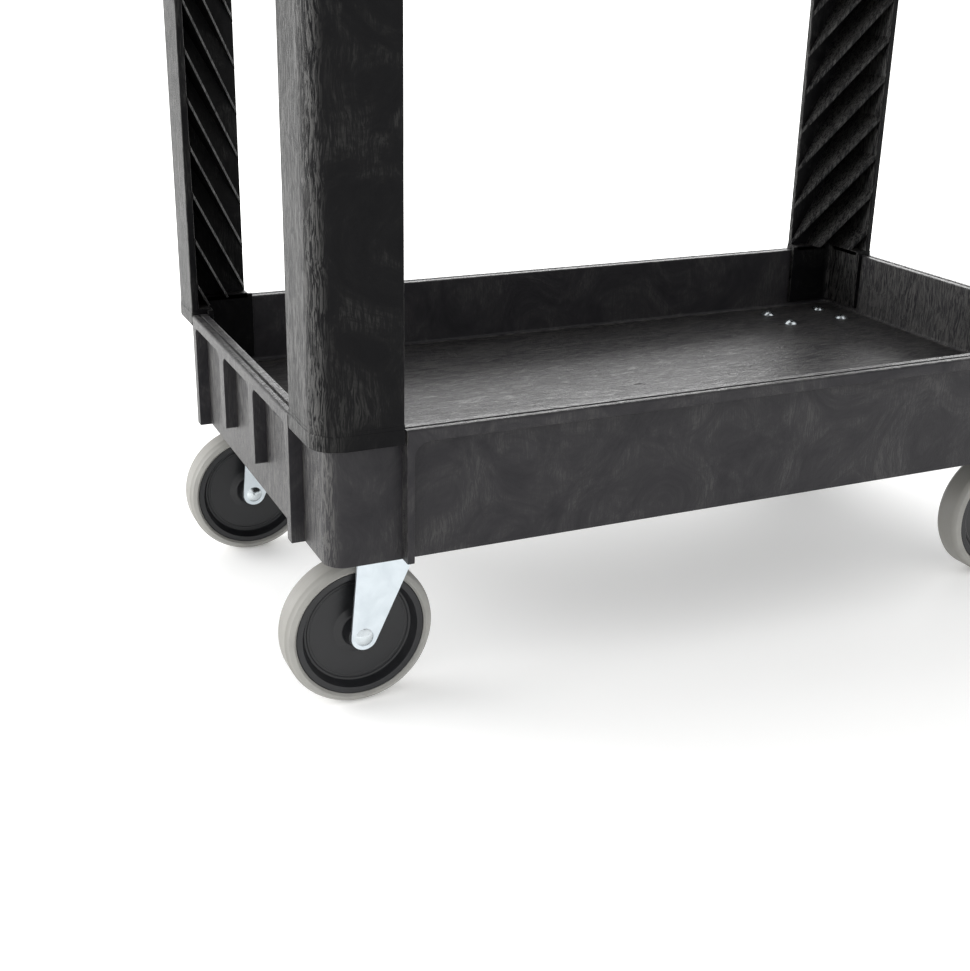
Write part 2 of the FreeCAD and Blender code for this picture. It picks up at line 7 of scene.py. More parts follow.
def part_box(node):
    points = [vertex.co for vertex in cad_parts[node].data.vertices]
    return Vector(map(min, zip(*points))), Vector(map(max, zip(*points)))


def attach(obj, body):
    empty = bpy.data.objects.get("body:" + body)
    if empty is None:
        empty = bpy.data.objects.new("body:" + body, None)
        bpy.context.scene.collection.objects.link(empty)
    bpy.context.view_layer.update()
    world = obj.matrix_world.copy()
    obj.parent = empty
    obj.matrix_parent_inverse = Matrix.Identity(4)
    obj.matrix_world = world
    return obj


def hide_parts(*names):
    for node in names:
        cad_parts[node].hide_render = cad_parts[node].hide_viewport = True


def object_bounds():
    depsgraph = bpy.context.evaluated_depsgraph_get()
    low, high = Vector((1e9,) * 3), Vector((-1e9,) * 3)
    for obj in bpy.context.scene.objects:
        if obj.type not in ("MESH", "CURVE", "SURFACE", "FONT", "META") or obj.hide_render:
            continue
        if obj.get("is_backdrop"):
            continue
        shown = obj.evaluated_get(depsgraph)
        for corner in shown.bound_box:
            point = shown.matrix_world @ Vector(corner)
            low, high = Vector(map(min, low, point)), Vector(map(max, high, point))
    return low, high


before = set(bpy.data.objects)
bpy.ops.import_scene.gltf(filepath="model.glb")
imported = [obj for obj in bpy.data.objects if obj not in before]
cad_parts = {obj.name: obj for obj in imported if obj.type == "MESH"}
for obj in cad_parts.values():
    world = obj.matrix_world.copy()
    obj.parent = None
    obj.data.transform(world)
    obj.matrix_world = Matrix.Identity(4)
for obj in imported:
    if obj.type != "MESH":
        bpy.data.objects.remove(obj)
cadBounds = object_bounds()
mm = 0.001
places = ("front_left", "rear_left", "front_right", "rear_right")


# ---------- small helpers ----------

def addNode(tree, kind, inputs=None, **settings):
    node = tree.nodes.new(kind)
    for name, value in settings.items():
        setattr(node, name, value)
    for key, value in (inputs or {}).items():
        if isinstance(value, bpy.types.NodeSocket):
            tree.links.new(value, node.inputs[key])
        else:
            node.inputs[key].default_value = value
    return node


def hexColour(text):
    channels = [int(text[i:i + 2], 16) / 255 for i in (1, 3, 5)]
    linear = [c / 12.92 if c <= 0.04045 else ((c + 0.055) / 1.055) ** 2.4 for c in channels]
    return (*linear, 1.0)


def perSize(millimetres):
    return 1 / (millimetres * mm)  # a texture scale that repeats about once in this many millimetres


def filletPath(points, steps=4):
    out = []
    for i, (x, y, r) in enumerate(points):
        here = Vector((x, y))
        if r <= 0 or i in (0, len(points) - 1):
            out.append((x, y))
            continue
        before = (Vector(points[i - 1][:2]) - here).normalized()
        after = (Vector(points[i + 1][:2]) - here).normalized()
        half = before.angle(after) / 2
        start = here + before * (r / math.tan(half))
        end = here + after * (r / math.tan(half))
        centre = here + (before + after).normalized() * (r / math.sin(half))
        a0 = math.atan2(*(start - centre).yx)
        turn = (math.atan2(*(end - centre).yx) - a0 + math.pi) % (2 * math.pi) - math.pi
        for k in range(steps + 1):
            a = a0 + turn * k / steps
            out.append((centre.x + r * math.cos(a), centre.y + r * math.sin(a)))
    return out


def closedFillet(points, steps=4):
    ring = [points[-1], *points, points[0]]
    return filletPath(ring, steps)[1:-1]


def roundedSection(sizeA, sizeB, radius, steps=6):
    points = []
    for cornerTurn, (sa, sb) in enumerate(((1, 1), (-1, 1), (-1, -1), (1, -1))):
        for k in range(steps + 1):
            a = math.pi / 2 * (cornerTurn + k / steps)
            points.append((sa * (sizeA / 2 - radius) + radius * math.cos(a),
                           sb * (sizeB / 2 - radius) + radius * math.sin(a)))
    return points


def bridgeLoops(loops, wrap=False):
    count = len(loops[0])
    vertices = [v for loop in loops for v in loop]
    faces = []
    pairs = list(zip(range(len(loops) - 1), range(1, len(loops))))
    if wrap:
        pairs.append((len(loops) - 1, 0))
    for a, b in pairs:
        for i in range(count):
            j = (i + 1) % count
            faces.append((a * count + i, a * count + j, b * count + j, b * count + i))
    if not wrap:
        faces.append(tuple(reversed(range(count))))
        faces.append(tuple(range((len(loops) - 1) * count, len(loops) * count)))
    return vertices, faces


def meshFrom(parts, bevel=0.0, bevelSteps=3):
    bm = bmesh.new()
    for vertices, faces in parts:
        made = [bm.verts.new(Vector(v) * mm) for v in vertices]
        for face in faces:
            corners = [made[i] for i in face]
            if len(set(corners)) > 2:
                try:
                    bm.faces.new(corners)
                except ValueError:
                    pass
    bmesh.ops.remove_doubles(bm, verts=bm.verts, dist=1e-6)
    bmesh.ops.dissolve_degenerate(bm, edges=bm.edges, dist=1e-6)
    bmesh.ops.recalc_face_normals(bm, faces=bm.faces)
    if bevel > 0:
        sharp = [e for e in bm.edges if len(e.link_faces) == 2 and e.calc_face_angle(0) > math.radians(35)]
        bmesh.ops.bevel(bm, geom=sharp, offset=bevel * mm, segments=bevelSteps, profile=0.5, affect="EDGES",
                        clamp_overlap=True)
        bmesh.ops.recalc_face_normals(bm, faces=bm.faces)
    mesh = bpy.data.meshes.new("mesh")
    bm.to_mesh(mesh)
    bm.free()
    return mesh


def joinedMesh(name, meshes):
    bm = bmesh.new()
    for mesh in meshes:
        bm.from_mesh(mesh)
    whole = bpy.data.meshes.new(name)
    bm.to_mesh(whole)
    bm.free()
    return whole


def label(place):
    return "".join(word.title() for word in place.split("_"))


def evaluated(obj):
    graph = bpy.context.evaluated_depsgraph_get()
    return bpy.data.meshes.new_from_object(obj.evaluated_get(graph))


def finishPiece(name, mesh, material, body, replaced=None, smoothAngle=32):
    obj = bpy.data.objects.new(name, mesh)
    bpy.context.scene.collection.objects.link(obj)
    mesh.name = name
    mesh.materials.clear()
    mesh.materials.append(material)
    mesh.polygons.foreach_set("material_index", [0] * len(mesh.polygons))
    mesh.shade_smooth()
    mesh.set_sharp_from_angle(angle=math.radians(smoothAngle))
    weighted = obj.modifiers.new("faceNormals", "WEIGHTED_NORMAL")
    weighted.keep_sharp = True
    weighted.weight = 80
    obj.data = evaluated(obj)
    obj.modifiers.clear()
    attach(obj, body)
    if replaced:
        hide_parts(replaced)
    return obj


def flipMatrix(flipX, flipY, middleX=0.0):
    scale = Matrix.Diagonal((-1 if flipX else 1, -1 if flipY else 1, 1, 1))
    return Matrix.Translation((middleX, 0, 0)) @ scale @ Matrix.Translation((-middleX, 0, 0))


def mirroredMesh(mesh, matrix):
    copy = mesh.copy()
    copy.transform(matrix)
    if matrix.determinant() < 0:
        copy.flip_normals()
    return copy


# ---------- materials ----------

def newMaterial(name):
    material = bpy.data.materials.new(name)
    material.use_nodes = True
    tree = material.node_tree
    shader = tree.nodes["Principled BSDF"]
    return material, tree, shader


def structuralFoam(name, shades, shine):
    # Structural foam HDPE, low-pressure moulded: near-black skin with cloudy swirls and wavy splay streaks up the
    # walls.
    # The lighter streak colour is strongest on the end walls, a painted sheen, and a brushed mottle paints lighter
    # glare onto level faces
    look = {"swirlMm": 75, "streakMm": 1.9, "streakLengthMm": 24, "fineMm": 0.9, "fineLengthMm": 7, "slant": 0.25,
            "warpMm": 45, "warpDepth": 0.011, "mottleMm": 9, "mottleLengthMm": 30, "lowRough": 0.34,
            "highRough": 0.5, "levelShine": (0.22, 0.5)}
    material, tree, shader = newMaterial(name)
    texture = addNode(tree, "ShaderNodeTexCoord")
    where = texture.outputs["Object"]
    swirl = addNode(tree, "ShaderNodeTexNoise", {"Vector": where, "Scale": perSize(look["swirlMm"]), "Detail": 8.0,
                                                 "Roughness": 0.68, "Distortion": 1.6})
    warp = addNode(tree, "ShaderNodeTexNoise", {"Vector": where, "Scale": perSize(look["warpMm"]), "Detail": 2.0})
    waved = addNode(tree, "ShaderNodeVectorMath", {0: warp.outputs["Color"], 1: (look["warpDepth"],) * 3, 2: where},
                    operation="MULTIPLY_ADD")

    def streaks(across, depth, along, distortion):
        place = addNode(tree, "ShaderNodeMapping", {
            "Vector": waved.outputs["Vector"], "Rotation": (look["slant"], -look["slant"], 0),
            "Scale": (perSize(across), perSize(depth), perSize(along))})
        return addNode(tree, "ShaderNodeTexNoise", {"Vector": place.outputs["Vector"], "Scale": 1.0, "Detail": 5.0,
                                                    "Roughness": 0.62, "Distortion": distortion}).outputs["Fac"]

    def ramp(value, start, end, low=0.0, high=1.0):
        node = addNode(tree, "ShaderNodeMapRange", {"Value": value, "From Min": start, "From Max": end,
                                                    "To Min": low, "To Max": high}, interpolation_type="SMOOTHSTEP")
        return node.outputs["Result"]

    def combine(operation, a, b):
        return addNode(tree, "ShaderNodeMath", {0: a, 1: b}, operation=operation).outputs[0]

    broadStreak = streaks(look["streakMm"], look["streakMm"], look["streakLengthMm"], 1.2)
    fineStreak = streaks(look["fineMm"], look["fineMm"], look["fineLengthMm"], 0.8)
    mottle = streaks(look["mottleLengthMm"], look["mottleMm"], look["mottleMm"], 2.2)
    facing = addNode(tree, "ShaderNodeSeparateXYZ", {"Vector": texture.outputs["Normal"]})
    # painted sheen: walls facing along X get more of the lighter streak colour, standing in for glancing light on the
    # end walls
    endWallSheen = ramp(combine("ABSOLUTE", facing.outputs["X"], 0.0), 0.35, 0.85)
    level = ramp(combine("ABSOLUTE", facing.outputs["Z"], 0.0), 0.6, 0.85)
    patches = combine("MULTIPLY", ramp(swirl.outputs["Fac"], 0.44, 0.66), 0.4)
    lines = combine("MULTIPLY", ramp(broadStreak, 0.43, 0.6), combine("MAXIMUM", patches, endWallSheen))
    # level faces take the lighter mottle instead of the streaks, which paints glare onto tray floors and rim tops
    marksAndSheenMix = addNode(tree, "ShaderNodeMix", {"Factor": level}, data_type="FLOAT")
    tree.links.new(lines, marksAndSheenMix.inputs[2])
    tree.links.new(ramp(mottle, 0.38, 0.68), marksAndSheenMix.inputs[3])
    splayAndSheen = marksAndSheenMix.outputs[0]
    tone = addNode(tree, "ShaderNodeValToRGB", {"Fac": swirl.outputs["Fac"]})
    tone.color_ramp.elements[0].position = 0.34
    tone.color_ramp.elements[0].color = hexColour(shades[0])
    tone.color_ramp.elements[1].position = 0.7
    tone.color_ramp.elements[1].color = hexColour(shades[1])
    # base colour: swirl tone lifted towards the third shade by the streak mask, with painted sheen on end walls and
    # painted glare on level faces
    streakSheenColour = addNode(tree, "ShaderNodeMix", {"Factor": splayAndSheen}, data_type="RGBA")
    tree.links.new(tone.outputs["Color"], streakSheenColour.inputs[6])
    streakSheenColour.inputs[7].default_value = hexColour(shades[2])
    broad = addNode(tree, "ShaderNodeBump", {"Height": swirl.outputs["Fac"], "Strength": 0.4, "Distance": 0.0025})
    drawn = addNode(tree, "ShaderNodeBump", {"Height": splayAndSheen, "Strength": 0.5, "Distance": 0.0006,
                                             "Normal": broad.outputs["Normal"]})
    skin = addNode(tree, "ShaderNodeBump", {"Height": fineStreak, "Strength": 0.35, "Distance": 0.0003,
                                            "Normal": drawn.outputs["Normal"]})
    tree.links.new(streakSheenColour.outputs[2], shader.inputs["Base Color"])
    tree.links.new(ramp(broadStreak, 0.35, 0.65, look["lowRough"], look["highRough"]), shader.inputs["Roughness"])
    gloss = addNode(tree, "ShaderNodeMix", {"Factor": level}, data_type="FLOAT")
    tree.links.new(ramp(lines, 0.0, 1.0, shine[0], shine[1]), gloss.inputs[2])
    tree.links.new(ramp(mottle, 0.38, 0.68, *look["levelShine"]), gloss.inputs[3])
    tree.links.new(gloss.outputs[0], shader.inputs["Specular IOR Level"])
    tree.links.new(skin.outputs["Normal"], shader.inputs["Normal"])
    shader.inputs["IOR"].default_value = 1.52
    return material


def wheelCentreNylon():
    # Moulded polypropylene: deep black with a low satin gloss and faint moulding ripple
    material, tree, shader = newMaterial("mouldedPolypropylene")
    where = addNode(tree, "ShaderNodeTexCoord").outputs["Object"]
    mottle = addNode(tree, "ShaderNodeTexNoise", {"Vector": where, "Scale": perSize(14), "Detail": 4.0})
    grain = addNode(tree, "ShaderNodeTexNoise", {"Vector": where, "Scale": perSize(1.4), "Detail": 2.0})
    tone = addNode(tree, "ShaderNodeValToRGB", {"Fac": mottle.outputs["Fac"]})
    tone.color_ramp.elements[0].color = hexColour("#111113")
    tone.color_ramp.elements[1].color = hexColour("#1d1e21")
    rough = addNode(tree, "ShaderNodeMapRange", {"Value": mottle.outputs["Fac"], "To Min": 0.3, "To Max": 0.46})
    bump = addNode(tree, "ShaderNodeBump", {"Height": grain.outputs["Fac"], "Strength": 0.12, "Distance": 0.0001})
    tree.links.new(tone.outputs["Color"], shader.inputs["Base Color"])
    tree.links.new(rough.outputs["Result"], shader.inputs["Roughness"])
    tree.links.new(bump.outputs["Normal"], shader.inputs["Normal"])
    shader.inputs["IOR"].default_value = 1.49
    return material


def greyTreadRubber():
    # Thermoplastic rubber tyre, non-marking grey: satin, a little dust held on the tread
    material, tree, shader = newMaterial("greyThermoplasticRubber")
    where = addNode(tree, "ShaderNodeTexCoord").outputs["Object"]
    tread = addNode(tree, "ShaderNodeAttribute", attribute_name="tread", attribute_type="GEOMETRY")
    cloud = addNode(tree, "ShaderNodeTexNoise", {"Vector": where, "Scale": perSize(22), "Detail": 5.0,
                                                 "Roughness": 0.6})
    grit = addNode(tree, "ShaderNodeTexNoise", {"Vector": where, "Scale": perSize(0.9), "Detail": 3.0})
    tone = addNode(tree, "ShaderNodeValToRGB", {"Fac": cloud.outputs["Fac"]})
    tone.color_ramp.elements[0].position = 0.3
    tone.color_ramp.elements[0].color = hexColour("#8a8985")
    tone.color_ramp.elements[1].position = 0.72
    tone.color_ramp.elements[1].color = hexColour("#9a9994")
    dust = addNode(tree, "ShaderNodeMath", {0: tread.outputs["Fac"], 1: cloud.outputs["Fac"]}, operation="MULTIPLY")
    worn = addNode(tree, "ShaderNodeMix", {"Factor": dust.outputs[0]}, data_type="RGBA")
    tree.links.new(tone.outputs["Color"], worn.inputs[6])
    worn.inputs[7].default_value = hexColour("#75736e")
    rough = addNode(tree, "ShaderNodeMapRange", {"Value": dust.outputs[0], "To Min": 0.42, "To Max": 0.75})
    bump = addNode(tree, "ShaderNodeBump", {"Height": grit.outputs["Fac"], "Strength": 0.18, "Distance": 0.00015})
    tree.links.new(worn.outputs[2], shader.inputs["Base Color"])
    tree.links.new(rough.outputs["Result"], shader.inputs["Roughness"])
    tree.links.new(bump.outputs["Normal"], shader.inputs["Normal"])
    shader.inputs["IOR"].default_value = 1.52
    return material


def zincPlate(name, tint, low, high, grainMm):
    # Bright zinc plate over pressed or headed steel: cool white metal, cloudy gloss, fine rolling lines
    material, tree, shader = newMaterial(name)
    where = addNode(tree, "ShaderNodeTexCoord").outputs["Object"]
    cloud = addNode(tree, "ShaderNodeTexNoise", {"Vector": where, "Scale": perSize(16), "Detail": 5.0,
                                                 "Distortion": 0.8})
    grainPlace = addNode(tree, "ShaderNodeMapping", {"Vector": where, "Scale": (
        perSize(grainMm * 14), perSize(grainMm * 14), perSize(grainMm))})
    grain = addNode(tree, "ShaderNodeTexNoise", {"Vector": grainPlace.outputs["Vector"], "Scale": 1.0,
                                                 "Detail": 3.0})
    tone = addNode(tree, "ShaderNodeValToRGB", {"Fac": cloud.outputs["Fac"]})
    tone.color_ramp.elements[0].position = 0.25
    tone.color_ramp.elements[0].color = hexColour(tint[0])
    tone.color_ramp.elements[1].position = 0.75
    tone.color_ramp.elements[1].color = hexColour(tint[1])
    rough = addNode(tree, "ShaderNodeMapRange", {"Value": cloud.outputs["Fac"], "From Min": 0.25, "From Max": 0.75,
                                                 "To Min": low, "To Max": high})
    bump = addNode(tree, "ShaderNodeBump", {"Height": grain.outputs["Fac"], "Strength": 0.08, "Distance": 0.0001})
    tree.links.new(tone.outputs["Color"], shader.inputs["Base Color"])
    tree.links.new(rough.outputs["Result"], shader.inputs["Roughness"])
    tree.links.new(bump.outputs["Normal"], shader.inputs["Normal"])
    shader.inputs["Metallic"].default_value = 1.0
    return material


# the third shade is the lighter streak colour, which also paints sheen on the end walls and glare on level faces
foam = structuralFoam("structuralFoamHdpe", ("#232225", "#343335", "#403f3d"), (0.16, 0.56))
# the posts' copy of the same foam in darker shades: painted shade, as the posts get less light than the trays
paintedShadePostFoam = structuralFoam("structuralFoamHdpePaintedShadePost", ("#08080a", "#111112", "#272624"), (0.08, 0.5))
hubPlastic = wheelCentreNylon()
rubber = greyTreadRubber()
forkZinc = zincPlate("brightZincPressing", ("#cbd4da", "#dfe7ec"), 0.28, 0.48, 0.5)
boltZinc = zincPlate("brightZincFastener", ("#bcc4c8", "#dde3e6"), 0.18, 0.34, 0.3)
ballSteel = zincPlate("polishedBallSteel", ("#c6c8cc", "#d6d8dc"), 0.08, 0.14, 0.3)
print("materials made")


# ---------- camera, floor and lights ----------

camera = {"focal": 51.05, "shift": (0.0181, -0.0301), "turn": 23.82, "down": 20.28, "roll": 0.8,
          "from": (-277.87, -901.13, 589.58)}  # place in mm from the lower tray's front left corner, on the floor

trayLow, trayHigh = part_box("lower_shelf")


def addCamera(spec):
    turn, down, roll = (math.radians(spec[k]) for k in ("turn", "down", "roll"))
    forward = Vector((math.sin(turn) * math.cos(down), math.cos(turn) * math.cos(down), -math.sin(down)))
    right = Vector((math.cos(turn), -math.sin(turn), 0))
    up = right.cross(forward)
    tiltedRight = right * math.cos(roll) + up * math.sin(roll)
    tiltedUp = up * math.cos(roll) - right * math.sin(roll)
    data = bpy.data.cameras.new("camera")
    data.lens = spec["focal"]
    data.shift_x, data.shift_y = spec["shift"]
    obj = bpy.data.objects.new("camera", data)
    rotation = Matrix((tiltedRight, tiltedUp, -forward)).transposed().to_4x4()
    place = Vector((trayLow.x, trayLow.y, 0)) + Vector(spec["from"]) * mm
    obj.matrix_world = Matrix.Translation(place) @ rotation
    bpy.context.scene.collection.objects.link(obj)
    bpy.context.scene.camera = obj


def addSoftbox(name, place, target, size, power):
    data = bpy.data.lights.new(name, "AREA")
    data.shape = "RECTANGLE"
    data.size, data.size_y = size
    data.energy = power
    obj = bpy.data.objects.new(name, data)
    aim = (Vector(target) - Vector(place)).to_track_quat("-Z", "Y")
    obj.matrix_world = Matrix.Translation(place) @ aim.to_matrix().to_4x4()
    bpy.context.scene.collection.objects.link(obj)


def addStage():
    world = bpy.data.worlds.new("studio")
    bpy.context.scene.world = world
    world.use_nodes = True
    world.node_tree.nodes["Background"].inputs["Color"].default_value = (1, 1, 1, 1)
    world.node_tree.nodes["Background"].inputs["Strength"].default_value = 1.12
    material, tree, shader = newMaterial("paleFloor")
    shader.inputs["Base Color"].default_value = hexColour("#fafaf9")
    shader.inputs["Roughness"].default_value = 0.8
    # a lit table: it glows a little, and more with distance, so that it runs into the white behind it
    where = addNode(tree, "ShaderNodeTexCoord").outputs["Object"]
    far = addNode(tree, "ShaderNodeVectorMath", {0: where}, operation="LENGTH")
    glow = addNode(tree, "ShaderNodeMapRange", {"Value": far.outputs["Value"], "From Min": 0.5, "From Max": 2.2,
                                                "To Min": 0.2, "To Max": 0.6}, interpolation_type="SMOOTHSTEP")
    shader.inputs["Emission Color"].default_value = (1, 1, 1, 1)
    tree.links.new(glow.outputs["Result"], shader.inputs["Emission Strength"])
    mesh = meshFrom([([(-60000, -60000, 0), (60000, -60000, 0), (60000, 60000, 0), (-60000, 60000, 0)],
                      [(0, 1, 2, 3)])])
    mesh.materials.append(material)
    floor = bpy.data.objects.new("floor", mesh)
    bpy.context.scene.collection.objects.link(floor)
    floor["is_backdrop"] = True
    addSoftbox("leftBox", (-2.3, 1.1, 0.9), (0, 0, 0.3), (2.0, 1.5), 54)
    addSoftbox("backBox", (1.45, 2.5, 1.2), (0, 0, 0.3), (2.8, 1.0), 45)


addCamera(camera)
addStage()
bpy.context.scene.view_settings.view_transform = "Standard"
print("camera and stage made")


# ---------- trays ----------

tray = {"rimHeight": 10.0, "rimWidth": 15.5, "skirtInset": 11.0, "wall": 4.5, "depth": 69.0, "floor": 6.0,
        "skirt": 109.0, "rimRound": 2.2, "edgeRound": 1.0, "floorRound": 4.0, "grooveAt": 6.0, "grooveWidth": 2.5,
        "grooveDepth": 2.0, "cornerRadius": 24.0, "skirtRadius": 17.0, "arcSteps": 9,
        "postX": 71.0, "postY": 72.0, "notch": 8.3, "notchDrop": 11.3, "gateRadius": 6.0, "gateDepth": 0.8}

length = (trayHigh.x - trayLow.x) / mm
width = (trayHigh.y - trayLow.y) / mm
middleX = (trayLow.x + trayHigh.x) / 2 / mm
lowerRim = trayHigh.z / mm
postLow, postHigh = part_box("post_front_left")
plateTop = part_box("swivel_plate_front_left")[1].z / mm
upperRim = postHigh.z / mm + tray["rimHeight"] + 0.3


def trayRadius(inset):
    t = tray
    if inset <= t["skirtInset"]:
        return t["cornerRadius"] + (t["skirtRadius"] - t["cornerRadius"]) * inset / t["skirtInset"]
    return max(t["skirtRadius"] - (inset - t["skirtInset"]), 1.0)


def trayLoop(inset, z, rim, notched):
    t = tray
    halfX, halfY = length / 2, width / 2
    cut = notched and z > -t["notchDrop"]
    ends = [(3.0, 0.0), (1.2, 0.0), (0.6, 0.35), (0.2, 1.0), (0.03, 2.0), (0.0, t["notch"])]
    quarter = []
    for gap, least in ends:
        inner = max(inset, least) if cut else inset
        quarter.append((halfX - inner, halfY - t["postY"] - gap))
    inner = max(inset, t["notch"]) if cut else inset
    radius = trayRadius(inner)
    cx, cy = halfX - inner - radius, halfY - inner - radius
    for k in range(t["arcSteps"] + 1):
        a = math.pi / 2 * k / t["arcSteps"]
        quarter.append((cx + radius * math.cos(a), cy + radius * math.sin(a)))
    for gap, least in reversed(ends):
        inner = max(inset, least) if cut else inset
        quarter.append((halfX - t["postX"] - gap, halfY - inner))
    back = quarter[::-1]
    ring = quarter + [(-x, y) for x, y in back] + [(-x, -y) for x, y in quarter] + [(x, -y) for x, y in back]
    return [(middleX + x, y, rim + z) for x, y in ring]


def roundLoop(radius, z, rim, model):
    ring = []
    for x, y, _ in model:
        a = math.atan2(y, x - middleX)
        ring.append((middleX + radius * math.cos(a), radius * math.sin(a), rim + z))
    return ring


def trayShell(rim, notched):
    t = tray
    w, g, e = t["rimWidth"], t["grooveAt"], t["edgeRound"]
    section = [(w + 24, -t["depth"], 0), (w, -t["depth"], t["floorRound"]), (w, 0, 1.4),
               (g + t["grooveWidth"], 0, 0.5), (g + t["grooveWidth"], -t["grooveDepth"], 0.7),
               (g, -t["grooveDepth"], 0.7), (g, 0, 0.5), (0, 0, t["rimRound"]), (0, -t["rimHeight"], 0.8),
               (t["skirtInset"], -t["rimHeight"], 1.6), (t["skirtInset"], -t["skirt"], e),
               (w, -t["skirt"], e), (w, -t["depth"] - t["floor"], 2.5), (w + 24, -t["depth"] - t["floor"], 0)]
    loops = [trayLoop(inset, z, rim, notched) for inset, z in filletPath(section)]
    top = loops[0]
    gate = [roundLoop(t["gateRadius"] * s, -t["depth"] - d, rim, top)
            for s, d in ((0.3, t["gateDepth"]), (0.6, t["gateDepth"] * 0.8), (0.85, t["gateDepth"] * 0.4),
                         (1.0, t["gateDepth"] * 0.1), (1.1, 0))]
    return bridgeLoops(gate + loops)


def prism(outline, axis, start, end):
    def at(a, b, level):
        return {"x": (level, a, b), "y": (a, level, b), "z": (a, b, level)}[axis]
    return bridgeLoops([[at(a, b, start) for a, b in outline], [at(a, b, end) for a, b in outline]])


fins = {"side": 6.0, "end": 11.0, "sideRound": 13.0, "endRound": 6.5, "rib": 15.0, "ribSpacing": 99.0,
        "ribDrop": 68.5, "sink": 1.5}


def finOutline(a0, a1, top, bottom, leftRound, rightRound, foot=0.0):
    points = []
    if leftRound:
        arc = [(a0 - leftRound + leftRound * math.sin(t), top - leftRound + leftRound * math.cos(t))
               for t in [math.pi / 2 * k / 6 for k in range(7)]]
        points += [(a0 - leftRound, top + 1)] + arc
    else:
        points += [(a0, top + 1)]
    if foot:
        points += [(a0, bottom + foot)]
        points += [(a0 + foot - foot * math.cos(t), bottom + foot - foot * math.sin(t))
                   for t in [math.pi / 2 * k / 4 for k in range(1, 5)]]
        points += [(a1 - foot + foot * math.sin(t), bottom + foot - foot * math.cos(t))
                   for t in [math.pi / 2 * k / 4 for k in range(5)]]
    else:
        points += [(a0, bottom), (a1, bottom)]
    if rightRound:
        arc = [(a1 + rightRound - rightRound * math.cos(t), top - rightRound + rightRound * math.sin(t))
               for t in [math.pi / 2 * k / 6 for k in range(7)]]
        points += arc + [(a1 + rightRound, top + 1)]
    else:
        points += [(a1, top + 1)]
    clean = [p for i, p in enumerate(points) if (Vector(p) - Vector(points[i - 1])).length > 1e-4]
    return clean


def trayFins(rim):
    t, f = tray, fins
    top, bottom = rim - t["rimHeight"], rim - t["skirt"]
    depth = t["skirtInset"] + f["sink"]
    halfX, halfY = length / 2, width / 2
    parts = []
    for side in (-1, 1):
        y0, y1 = side * halfY, side * (halfY - depth)
        for end in (-1, 1):
            a0 = t["postX"]
            outline = finOutline(a0, a0 + f["side"], top, bottom, 0, f["sideRound"])
            outline = [(middleX + end * (halfX - a), z) for a, z in outline]
            parts.append(prism(outline, "y", y0, y1))
    for end in (-1, 1):
        x0, x1 = middleX + end * halfX, middleX + end * (halfX - depth)
        for side in (-1, 1):
            a0 = t["postY"]
            outline = finOutline(a0, a0 + f["end"], top, bottom, 0, f["endRound"])
            parts.append(prism([(side * (halfY - a), z) for a, z in outline], "x", x0, x1))
            centre = side * f["ribSpacing"] / 2
            outline = finOutline(centre - f["rib"] / 2, centre + f["rib"] / 2, top, top - f["ribDrop"],
                                 f["endRound"], f["endRound"], 3.0)
            parts.append(prism(outline, "x", x0, x1))
    return parts


casterPad = {"x": 100.0, "y": 70.0, "round": 8.0, "recess": 12.0, "recessDepth": 6.0, "edge": 1.0,
             "recessEdge": 0.6}


def padParts(rim):
    # the thick pads that the caster plates are bolted up against, each with a recess over the kingpin
    c, t = casterPad, tray
    parts = []
    for place in places:
        low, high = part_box("caster_bolts_" + place)
        x, y = (low.x + high.x) / 2 / mm, (low.y + high.y) / 2 / mm
        bottom = plateTop
        top = rim - t["depth"] - t["floor"] + 1
        recessTop, soft = bottom + c["recessDepth"], c["recessEdge"]
        rings = []
        for radius, z in ((c["recess"] - soft, recessTop), (c["recess"], recessTop - soft),
                          (c["recess"], bottom + soft), (c["recess"] + soft, bottom)):
            turns = [math.atan2(b, a) for a, b in roundedSection(c["x"], c["y"], c["round"])]
            rings.append([(x + radius * math.cos(turn), y + radius * math.sin(turn), z) for turn in turns])
        for shrink, z in ((c["edge"], bottom), (0.0, bottom + c["edge"]), (0.0, top)):
            outline = roundedSection(c["x"] - 2 * shrink, c["y"] - 2 * shrink, c["round"])
            rings.append([(x + a, y + b, z) for a, b in outline])
        parts.append(bridgeLoops(rings))
    return parts


def makeTray(name, node, rim, notched):
    pieces = [meshFrom([trayShell(rim, notched)]), meshFrom(trayFins(rim), bevel=0.8)]
    if notched:
        pieces.append(meshFrom(padParts(rim)))
    return finishPiece(name, joinedMesh(name, pieces), foam, "cart", node)


makeTray("lowerTray", "lower_shelf", lowerRim, True)
makeTray("upperTray", "upper_shelf", upperRim, False)
print("trays made")


# ---------- repeated pieces by geometry nodes ----------

def newNodeGroup(name, inputs):
    tree = bpy.data.node_groups.new(name, "GeometryNodeTree")
    tree.interface.new_socket("Geometry", in_out="INPUT", socket_type="NodeSocketGeometry")
    for label, kind in inputs:
        tree.interface.new_socket(label, in_out="INPUT", socket_type="NodeSocket" + kind)
    tree.interface.new_socket("Geometry", in_out="OUTPUT", socket_type="NodeSocketGeometry")
    return tree, addNode(tree, "NodeGroupInput").outputs, addNode(tree, "NodeGroupOutput")


def closeGroup(tree, geometry, given, out):
    realized = addNode(tree, "GeometryNodeRealizeInstances", {"Geometry": geometry})
    coated = addNode(tree, "GeometryNodeSetMaterial", {"Geometry": realized.outputs[0],
                                                       "Material": given["Material"]})
    tree.links.new(coated.outputs[0], out.inputs[0])


def runNodes(tree, values):
    holder = bpy.data.objects.new("holder", bpy.data.meshes.new("holder"))
    bpy.context.scene.collection.objects.link(holder)
    modifier = holder.modifiers.new("nodes", "NODES")
    modifier.node_group = tree
    sockets = {s.name: s.identifier for s in tree.interface.items_tree if s.in_out == "INPUT"}
    for label, value in values.items():
        modifier[sockets[label]] = value
    holder.update_tag()
    bpy.context.view_layer.update()
    mesh = evaluated(holder)
    holder.modifiers.clear()
    bpy.data.objects.remove(holder)
    return mesh


